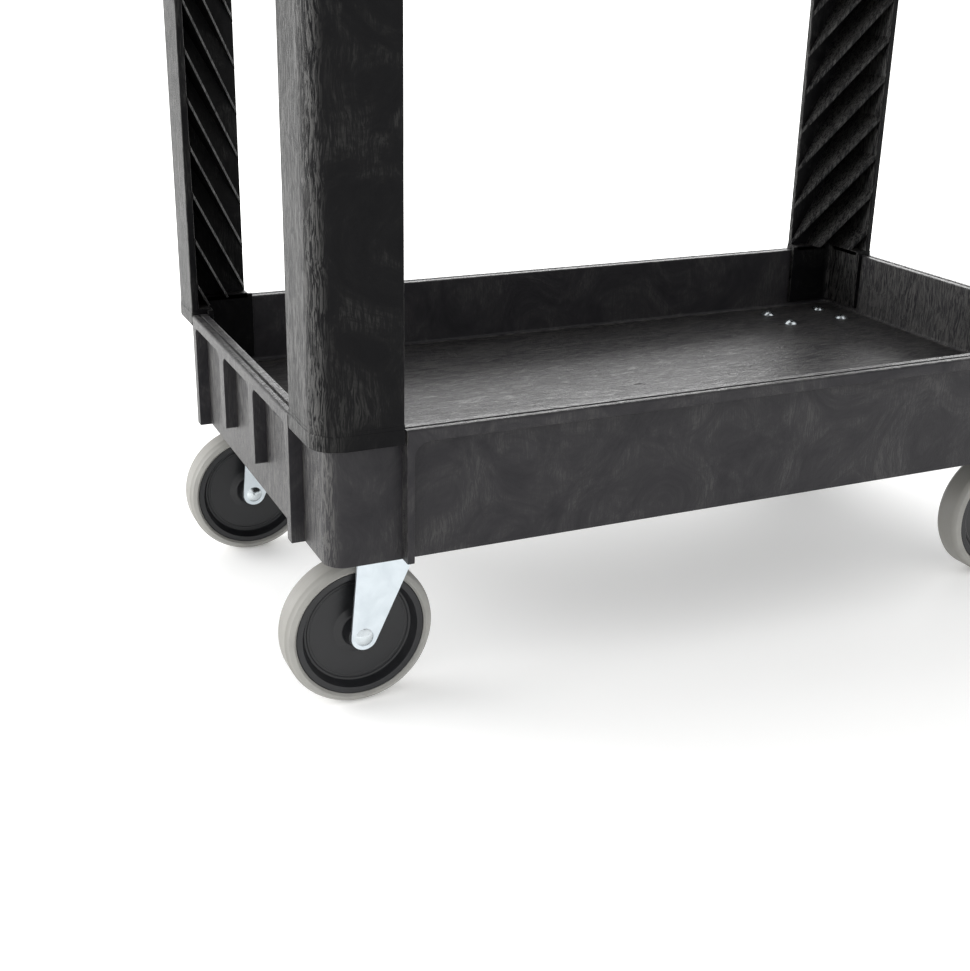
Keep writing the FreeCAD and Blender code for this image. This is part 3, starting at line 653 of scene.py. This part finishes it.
def ribRowTree():
    tree, given, out = newNodeGroup("ribRow", [("Count", "Int"), ("Start", "Vector"), ("Step", "Vector"),
                                               ("Size", "Vector"), ("Material", "Material")])
    rib = addNode(tree, "GeometryNodeMeshCube", {"Size": given["Size"]})
    line = addNode(tree, "GeometryNodeMeshLine", {"Count": given["Count"], "Start Location": given["Start"],
                                                  "Offset": given["Step"]}, mode="OFFSET")
    row = addNode(tree, "GeometryNodeInstanceOnPoints", {"Points": line.outputs[0], "Instance": rib.outputs[0]})
    closeGroup(tree, row.outputs[0], given, out)
    return tree


def stackTree():
    tree, given, out = newNodeGroup("stack", [("Item", "Object"), ("Count", "Int"), ("Start", "Vector"),
                                              ("Step", "Vector"), ("Material", "Material")])
    item = addNode(tree, "GeometryNodeObjectInfo", {"Object": given["Item"]})
    line = addNode(tree, "GeometryNodeMeshLine", {"Count": given["Count"], "Start Location": given["Start"],
                                                  "Offset": given["Step"]}, mode="OFFSET")
    row = addNode(tree, "GeometryNodeInstanceOnPoints", {"Points": line.outputs[0],
                                                         "Instance": item.outputs["Geometry"]})
    closeGroup(tree, row.outputs[0], given, out)
    return tree


def patternTree():
    # one item at each corner of a rectangle
    tree, given, out = newNodeGroup("boltPattern", [("Item", "Object"), ("Spacing X", "Float"),
                                                    ("Spacing Y", "Float"), ("Centre", "Vector"),
                                                    ("Material", "Material")])
    item = addNode(tree, "GeometryNodeObjectInfo", {"Object": given["Item"]})
    grid = addNode(tree, "GeometryNodeMeshGrid", {"Size X": given["Spacing X"], "Size Y": given["Spacing Y"],
                                                  "Vertices X": 2, "Vertices Y": 2})
    moved = addNode(tree, "GeometryNodeTransform", {"Geometry": grid.outputs[0], "Translation": given["Centre"]})
    placed = addNode(tree, "GeometryNodeInstanceOnPoints", {"Points": moved.outputs[0],
                                                            "Instance": item.outputs["Geometry"]})
    closeGroup(tree, placed.outputs[0], given, out)
    return tree


def ballRingTree():
    tree, given, out = newNodeGroup("ballRing", [("Count", "Int"), ("Ring", "Float"), ("Ball", "Float"),
                                                 ("Centre", "Vector"), ("Material", "Material")])
    ring = addNode(tree, "GeometryNodeMeshCircle", {"Vertices": given["Count"], "Radius": given["Ring"]})
    ball = addNode(tree, "GeometryNodeMeshIcoSphere", {"Radius": given["Ball"], "Subdivisions": 3})
    moved = addNode(tree, "GeometryNodeTransform", {"Geometry": ring.outputs[0], "Translation": given["Centre"]})
    placed = addNode(tree, "GeometryNodeInstanceOnPoints", {"Points": moved.outputs[0],
                                                            "Instance": ball.outputs[0]})
    closeGroup(tree, placed.outputs[0], given, out)
    return tree


ribRow, stack, boltPattern, ballRing = ribRowTree(), stackTree(), patternTree(), ballRingTree()

floorRibs = {"thickness": 3.0, "depth": 24.0, "across": 5, "along": 3}


def makeFloorRibs(name, rim):
    r, t = floorRibs, tray
    runX, runY = length - 2 * t["rimWidth"], width - 2 * t["rimWidth"]
    z = rim - t["depth"] - t["floor"] - r["depth"] / 2 + 0.5
    stepX, stepY = runX / (r["across"] + 1), runY / (r["along"] + 1)
    bm = bmesh.new()
    deep = r["depth"] + 1
    rows = [(r["across"], (middleX - runX / 2 + stepX, 0, z), (stepX, 0, 0), (r["thickness"], runY + 1, deep)),
            (r["along"], (middleX, -runY / 2 + stepY, z), (0, stepY, 0), (runX + 1, r["thickness"], deep))]
    for count, start, step, size in rows:
        mesh = runNodes(ribRow, {"Count": count, "Start": Vector(start) * mm, "Step": Vector(step) * mm,
                                 "Size": Vector(size) * mm, "Material": foam})
        bm.from_mesh(mesh)
    sharp = [e for e in bm.edges if abs(e.verts[0].co.z - e.verts[1].co.z) < 1e-6
             and e.verts[0].co.z < (z - r["depth"] / 4) * mm]
    bmesh.ops.bevel(bm, geom=sharp, offset=0.7 * mm, segments=2, profile=0.5, affect="EDGES")
    mesh = bpy.data.meshes.new(name)
    bm.to_mesh(mesh)
    bm.free()
    return finishPiece(name, mesh, foam, "cart")


makeFloorRibs("lowerFloorRibs", lowerRim)
makeFloorRibs("upperFloorRibs", upperRim)
print("floor ribs made")


# ---------- push handle ----------

handle = {"width": 26.0, "height": 32.0, "round": 9.0, "bend": 58.0, "tilt": 13.0, "postGap": 3.0,
          "gusset": 10.0, "gussetLength": 70.0, "gussetFoot": 12.0, "root": 12.5, "flare": 1.12}


def makeHandle():
    h, t = handle, tray
    upLow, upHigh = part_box("upper_shelf")
    tilt = math.radians(h["tilt"])
    flatA, flatB = h["width"] / 2 - h["round"], h["height"] / 2 - h["round"]
    endX = middleX - length / 2
    tipX = upLow.x / mm + h["round"] + flatA * math.cos(tilt) + flatB * math.sin(tilt)
    tipZ = upHigh.z / mm - h["round"] - flatB * math.cos(tilt) - flatA * math.sin(tilt)
    rootX = endX + h["root"]
    reach = (rootX - tipX) / math.cos(tilt)
    rootZ = tipZ - reach * math.sin(tilt)
    half = width / 2 - t["postY"] - h["postGap"] - h["width"] / 2
    route = [(0, -half, 0), (reach, -half, h["bend"]), (reach, half, h["bend"]), (0, half, 0)]
    path = filletPath(route, 14)
    path = [path[0], (8, -half), (22, -half)] + path[1:-1] + [(22, half), (8, half), path[-1]]
    section = roundedSection(h["width"], h["height"], h["round"])
    loops = []
    for i, (p, q) in enumerate(path):
        ahead = Vector(path[min(i + 1, len(path) - 1)]) - Vector(path[max(i - 1, 0)])
        ahead.normalize()
        side = Vector((-ahead.y, ahead.x))
        near = max(0.0, 1 - p / 22)
        scale = 1 + (h["flare"] - 1) * near
        loop = []
        for a, b in section:
            along, across = p + side.x * a * scale, q + side.y * a * scale
            drop = b * scale
            loop.append((rootX - along * math.cos(tilt) + drop * math.sin(tilt), across,
                         rootZ + along * math.sin(tilt) + drop * math.cos(tilt)))
        loops.append(loop)
    inside = endX + h["root"]
    loops[0] = [(min(x, inside), y, z) for x, y, z in loops[0]]
    loops[-1] = [(min(x, inside), y, z) for x, y, z in loops[-1]]
    bar = meshFrom([bridgeLoops(loops)])
    lowZ = upperRim - t["skirt"] + h["gussetFoot"]
    farX = endX - h["gussetLength"]
    farZ = rootZ + (rootX - farX) * math.tan(tilt)
    outline = [(rootX, lowZ), (endX, lowZ), (farX, farZ), (rootX, rootZ)]
    parts = [prism(outline, "y", y - h["gusset"] / 2, y + h["gusset"] / 2) for y in (-half, half)]
    webs = meshFrom(parts, bevel=1.2)
    return finishPiece("pushHandle", joinedMesh("pushHandle", [bar, webs]), foam, "cart")


makeHandle()
print("handle made")


# ---------- corner posts ----------

post = {"x": 70.0, "y": 71.0, "wall": 8.0, "radius": 24.0, "edge": 1.5, "tenonAt": 15.5, "tenonWall": 5.0,
        "tenonStep": 4.0, "web": 5.0, "lipUp": 2.0, "lipStep": 0.6, "tenonHead": 8.0,
        "rib": 2.5, "ribPitch": 43.75, "ribStart": 36.0, "ribSlope": 1.75}


def angleOutline(inner, outer, endX, endY, radius, edge, shrink=0.0):
    a, b = inner + shrink, outer - shrink
    ex, ey = endX - shrink, endY - shrink
    innerRadius = max(radius - (outer - inner), 1.5) + shrink
    return closedFillet([(a, ey, edge), (a, a, max(radius - shrink, 0.5)), (ex, a, edge), (ex, b, edge),
                         (b, b, innerRadius), (b, ey, edge)], 7)


def loft(outline, levels):
    return bridgeLoops([[(x, y, z) for x, y in outline(shrink)] for z, shrink in levels])


def makePosts():
    p, t = post, tray
    bottom, top = postLow.z / mm, postHigh.z / mm
    foot = lowerRim - t["rimHeight"] - 1
    lip = lowerRim + p["lipUp"]
    skirtBottom = upperRim - t["skirt"]
    lowWeb = (lowerRim + 0.05, lowerRim + p["web"])
    highWeb = (skirtBottom - p["web"], skirtBottom - 0.05)

    def shell(shrink):
        return angleOutline(0, p["wall"], p["x"], p["y"], p["radius"], p["edge"], shrink)

    def web(shrink):
        return angleOutline(0.4, p["tenonAt"] + p["tenonWall"], p["x"] - 0.3, p["y"] - 0.3, p["radius"], 1.0, shrink)

    def tenon(shrink):
        return angleOutline(p["tenonAt"], p["tenonAt"] + p["tenonWall"], p["x"] + p["tenonStep"],
                            p["y"] + p["tenonStep"], t["skirtRadius"] - t["wall"], 0.8, shrink)

    d = p["lipStep"]
    shellLevels = [(foot, 0.8), (foot + 0.25, 0.25), (foot + 0.8, 0.0), (lip - 1.1, 0.0), (lip - 0.7, d * 0.12),
                   (lip - 0.25, d * 0.6), (lip, d), (top - 0.8, d), (top - 0.2, d + 0.3), (top, d + 0.8)]
    parts = [loft(shell, shellLevels)]
    parts.append(loft(web, [(lowWeb[0], 0.0), (lowWeb[1] - 0.8, 0.0), (lowWeb[1], 0.6)]))
    parts.append(loft(web, [(highWeb[0], 0.6), (highWeb[0] + 0.8, 0.0), (highWeb[1], 0.0)]))
    parts.append(loft(tenon, [(bottom, 0.8), (bottom + 0.8, 0.0), (lowWeb[1] - 1, 0.0)]))
    inTop = upperRim - t["depth"] - t["floor"] - p["tenonHead"]
    parts.append(loft(tenon, [(highWeb[0] + 1, 0.0), (inTop - 0.8, 0.0), (inTop, 0.8)]))
    body = meshFrom(parts)
    ribs = makePostRibs(lowWeb[1] - 0.5, highWeb[0] + 0.5, lowWeb[1] - p["web"] / 2)
    whole = joinedMesh("post", [body, ribs])
    whole.transform(Matrix.Translation((trayLow.x, trayLow.y, 0)))
    for place in places:
        matrix = flipMatrix(place.endswith("right"), place.startswith("rear"), middleX * mm)
        # each post gets the darker foam copy, painted shade
        finishPiece("post" + label(place), mirroredMesh(whole, matrix), paintedShadePostFoam, "cart", "post_" + place)


def makePostRibs(lowZ, highZ, startZ):
    p = post
    inside = p["wall"] - 1.0
    turnIn = p["radius"] - p["wall"] + inside  # stays behind the shell where its corner turns
    corners = [(inside, turnIn), (turnIn, inside), (p["x"] - 0.8, inside), (p["x"] - 0.8, p["wall"]),
               (p["wall"], p["y"] - 0.8), (inside, p["y"] - 0.8)]
    lift = p["rib"] * math.hypot(1, p["ribSlope"])
    loops = [[(x, y, up - p["ribSlope"] * x) for x, y in corners] for up in (0, lift)]
    template = bpy.data.objects.new("ribTemplate", meshFrom([bridgeLoops(loops)], bevel=0.5, bevelSteps=2))
    bpy.context.scene.collection.objects.link(template)
    drop = p["ribSlope"] * p["x"]
    first = startZ + p["ribStart"]
    count = int((highZ + drop - first) / p["ribPitch"]) + 1
    mesh = runNodes(stack, {"Item": template, "Count": count, "Start": (0, 0, first * mm),
                            "Step": (0, 0, p["ribPitch"] * mm), "Material": foam})
    bpy.data.objects.remove(template)
    bm = bmesh.new()
    bm.from_mesh(mesh)
    for level, direction in ((lowZ, -1), (highZ, 1)):
        cut = bmesh.ops.bisect_plane(bm, geom=bm.verts[:] + bm.edges[:] + bm.faces[:], plane_co=(0, 0, level * mm),
                                     plane_no=(0, 0, direction), clear_outer=True)
        rim = [e for e in cut["geom_cut"] if isinstance(e, bmesh.types.BMEdge)]
        bmesh.ops.holes_fill(bm, edges=rim, sides=0)
    bmesh.ops.recalc_face_normals(bm, faces=bm.faces)
    bm.to_mesh(mesh)
    bm.free()
    return mesh


makePosts()
print("posts made")


# ---------- wheels ----------

wheel = {"radius": 63.5, "tyre": 32.0, "tread": 18.0, "hub": 55.0, "hubWidth": 27.0, "rimBand": 5.5, "web": 10.0,
         "slope": 3.5, "boss": 12.0, "bossHalf": 18.9, "bore": 6.05, "bead": 2.0, "steps": 128}


def revolve(section, centre, steps):
    loops = []
    for k in range(steps):
        a = 2 * math.pi * k / steps
        loops.append([(centre[0] + r * math.cos(a), centre[1] + y, centre[2] + r * math.sin(a)) for r, y in section])
    return bridgeLoops(loops, wrap=True)


def tyreSection():
    w = wheel
    half, flat, bed = w["tyre"] / 2, w["tread"] / 2, w["hubWidth"] / 2
    outline = [(w["hub"], bed, 0), (w["hub"] + w["bead"], half, 0.8), (w["radius"] - 2.6, half - 2.6, 2.2),
               (w["radius"], flat, 3.5), (w["radius"], 0.7, 0.1), (w["radius"] - 0.12, 0, 0)]
    side = filletPath(outline, 4)
    return side + [(r, -y) for r, y in reversed(side[:-1])]


def hubSection():
    w = wheel
    web, rim, step = w["web"] / 2, w["hubWidth"] / 2, w["hub"] - w["rimBand"]
    side = [(w["bore"], w["bossHalf"], 0.4), (w["boss"], w["bossHalf"], 0.8), (w["boss"] + 2, web + 2, 2.5),
            (w["boss"] + 9, web, 4.0), (step - w["slope"] - 4.6, web, 0.6), (step - w["slope"] - 4.2, web + 0.5, 0.4),
            (step - w["slope"] - 2.4, web + 0.5, 0.3), (step - w["slope"] - 1.8, web, 0.4),
            (step - w["slope"], web, 1.6), (step, rim, 0.7), (w["hub"] - 0.8, rim, 0.3), (w["hub"], rim - 0.8, 0.0)]
    path = filletPath(side, 4)
    return path + [(r, -y) for r, y in reversed(path)]


def wheelCentre(place):
    low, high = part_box("tyre_" + place)
    return [(low[i] + high[i]) / 2 / mm for i in range(3)]


def makeWheel(place):
    centre = wheelCentre(place)
    body = "wheel_" + place
    tyreMesh = meshFrom([revolve(tyreSection(), centre, wheel["steps"])])
    treadWear = tyreMesh.attributes.new("tread", "FLOAT", "POINT")
    shoulder = wheel["radius"] - 3
    for i, v in enumerate(tyreMesh.vertices):
        r = math.hypot(v.co.x / mm - centre[0], v.co.z / mm - centre[2])
        treadWear.data[i].value = min(max((r - shoulder) / 2.5, 0.0), 1.0)
    finishPiece("tyre" + label(place), tyreMesh, rubber, body, "tyre_" + place, 25)
    hubMesh = meshFrom([revolve(hubSection(), centre, wheel["steps"])])
    finishPiece("wheelCentre" + label(place), hubMesh, hubPlastic, body, "wheel_hub_" + place, 25)


for place in places:
    makeWheel(place)
print("wheels made")


# ---------- steelwork: softened copies of the pressed and turned parts ----------

def softenedCopy(node, name, material, body, edge):
    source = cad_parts[node]
    bm = bmesh.new()
    bm.from_mesh(source.data)
    bmesh.ops.remove_doubles(bm, verts=bm.verts, dist=2e-6)
    bmesh.ops.dissolve_limit(bm, angle_limit=math.radians(1.5), verts=bm.verts, edges=bm.edges)
    sharp = [e for e in bm.edges if len(e.link_faces) == 2 and e.calc_face_angle(0) > math.radians(50)]
    bmesh.ops.bevel(bm, geom=sharp, offset=edge * mm, segments=2, profile=0.5, affect="EDGES", clamp_overlap=True)
    mesh = bpy.data.meshes.new(name)
    bm.to_mesh(mesh)
    bm.free()
    return finishPiece(name, mesh, material, body, node)


for place in places:
    if place.endswith("left"):
        softenedCopy("swivel_fork_" + place, "swivelFork" + label(place), forkZinc, "swivel_" + place,
                     0.35)
        softenedCopy("swivel_plate_" + place, "swivelPlate" + label(place), forkZinc, "cart", 0.4)
        softenedCopy("swivel_race_" + place, "swivelRace" + label(place), forkZinc, "cart", 0.4)
    else:
        softenedCopy("rigid_fork_" + place, "rigidFork" + label(place), forkZinc, "cart", 0.35)
print("steelwork made")


# ---------- bolts, nuts and balls ----------

fixing = {"boltRadius": 4.0, "headRadius": 8.0, "headHeight": 4.0, "nutFlats": 13.0, "nutHeight": 6.5,
          "pitch": 1.25, "spacingX": 73.0, "spacingY": 44.5}


def lathe(section, steps=32):
    loops = []
    for k in range(steps):
        a = 2 * math.pi * k / steps
        loops.append([(r * math.cos(a), r * math.sin(a), z) for r, z in section])
    return bridgeLoops(loops, wrap=True)


def boltMesh(headZ, endZ):
    # domed head, plain shank, and a thread cut as close rings where it shows below the nut
    f = fixing
    ball = (f["headRadius"] ** 2 + f["headHeight"] ** 2) / (2 * f["headHeight"])
    top = headZ + f["headHeight"]
    section = [(0.0, top)]
    for k in range(1, 9):
        r = (f["headRadius"] - 0.3) * k / 8
        section.append((r, top - ball + math.sqrt(ball ** 2 - r ** 2)))
    section += [(f["headRadius"], headZ + 0.35), (f["headRadius"], headZ), (f["boltRadius"], headZ)]
    z = endZ + 12 * f["pitch"]
    section.append((f["boltRadius"], z))
    while z > endZ + f["pitch"] * 0.9:
        section += [(f["boltRadius"] - 0.65, z - f["pitch"] / 2), (f["boltRadius"], z - f["pitch"])]
        z -= f["pitch"]
    section += [(f["boltRadius"] - 0.9, endZ), (0.0, endZ)]
    return meshFrom([lathe(section)])


def nutMesh(lowZ):
    # hexagon with chamfered corners and a bore that is filled by its bolt
    f = fixing
    across = f["nutFlats"] / 2
    corner = across / math.cos(math.pi / 6)
    loops = []
    worn = across * 1.01
    for z, limit in ((0, worn), (0.8, corner), (f["nutHeight"] - 0.8, corner), (f["nutHeight"], worn)):
        ring = []
        for k in range(36):
            a = 2 * math.pi * k / 36
            hexRadius = across / math.cos((a + math.pi / 6) % (math.pi / 3) - math.pi / 6)
            r = min(hexRadius, limit)
            ring.append((r * math.cos(a), r * math.sin(a), lowZ + z))
        loops.append(ring)
    return meshFrom([bridgeLoops(loops)])


def patternPiece(name, itemMesh, node, material):
    low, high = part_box(node)
    item = bpy.data.objects.new("item", itemMesh)
    bpy.context.scene.collection.objects.link(item)
    centre = ((low.x + high.x) / 2, (low.y + high.y) / 2, 0)
    mesh = runNodes(boltPattern, {"Item": item, "Spacing X": fixing["spacingX"] * mm,
                                  "Spacing Y": fixing["spacingY"] * mm, "Centre": centre, "Material": material})
    bpy.data.objects.remove(item)
    return finishPiece(name, mesh, material, "cart", node)


for place in places:
    low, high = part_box("caster_bolts_" + place)
    patternPiece("casterBolts" + label(place), boltMesh(high.z / mm - fixing["headHeight"], low.z / mm),
                 "caster_bolts_" + place, boltZinc)
    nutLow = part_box("caster_nuts_" + place)[0]
    patternPiece("casterNuts" + label(place), nutMesh(nutLow.z / mm), "caster_nuts_" + place, boltZinc)
    if place.endswith("left"):
        ballLow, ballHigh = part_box("swivel_balls_" + place)
        ballRadius = (ballHigh.z - ballLow.z) / 2
        mesh = runNodes(ballRing, {"Count": 16, "Ring": (ballHigh.x - ballLow.x) / 2 - ballRadius,
                                   "Ball": ballRadius, "Centre": (ballLow + ballHigh) / 2, "Material": ballSteel})
        finishPiece("swivelBalls" + label(place), mesh, ballSteel, "swivel_" + place,
                    "swivel_balls_" + place, 40)
print("fixings made")


# ---------- finishes on the parts that stay as they are ----------

nodeFinish = {"axle_nut": boltZinc, "axle": boltZinc, "wheel_sleeve": boltZinc, "kingpin": boltZinc}
for name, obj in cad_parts.items():
    for start, material in nodeFinish.items():
        if name.startswith(start + "_"):
            for slotHolder in obj.material_slots:
                slotHolder.material = material
            break
print("finishes set")

sizes = {"cad": cadBounds, "visual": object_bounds()}
for kind, corners in sizes.items():
    sizes[kind] = [[round(float(c), 5) for c in corner] for corner in corners]
